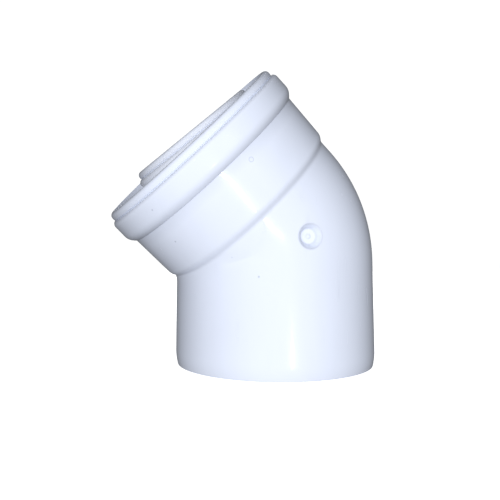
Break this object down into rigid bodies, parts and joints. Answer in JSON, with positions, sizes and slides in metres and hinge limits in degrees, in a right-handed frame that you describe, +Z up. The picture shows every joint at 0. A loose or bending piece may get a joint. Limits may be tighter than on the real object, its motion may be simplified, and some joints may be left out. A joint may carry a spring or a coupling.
{
  "type": "coaxial pipe elbow",
  "caption": "White 45 degree elbow for tube-in-tube pipe: an inner push-fit elbow set inside an outer one, each with a plain spigot and a lip-sealed socket.",
  "frame": {"origin": "centre of the outer spigot's end face, on the plane that the elbow stands on", "axes": "+Z up the outer spigot's axis; the sockets lean 45 degrees from +Z towards -X; the part's middle plane is XZ and the gate well is on the -Y side"},
  "size_m": [0.1334, 0.1112, 0.1482],
  "materials": {
    "outer_plastic": "satin white, glossy moulded skin",
    "inner_plastic": "satin white moulded",
    "seal_rubber": "matt black rubber",
    "ring_plastic": "matt light grey moulded"
  },
  "bodies": {
    "root": {"outer_elbow": "outer_plastic", "inner_elbow": "inner_plastic", "outer_seal": "seal_rubber", "inner_seal": "seal_rubber", "centring_ring": "ring_plastic"}
  },
  "joints": []
}
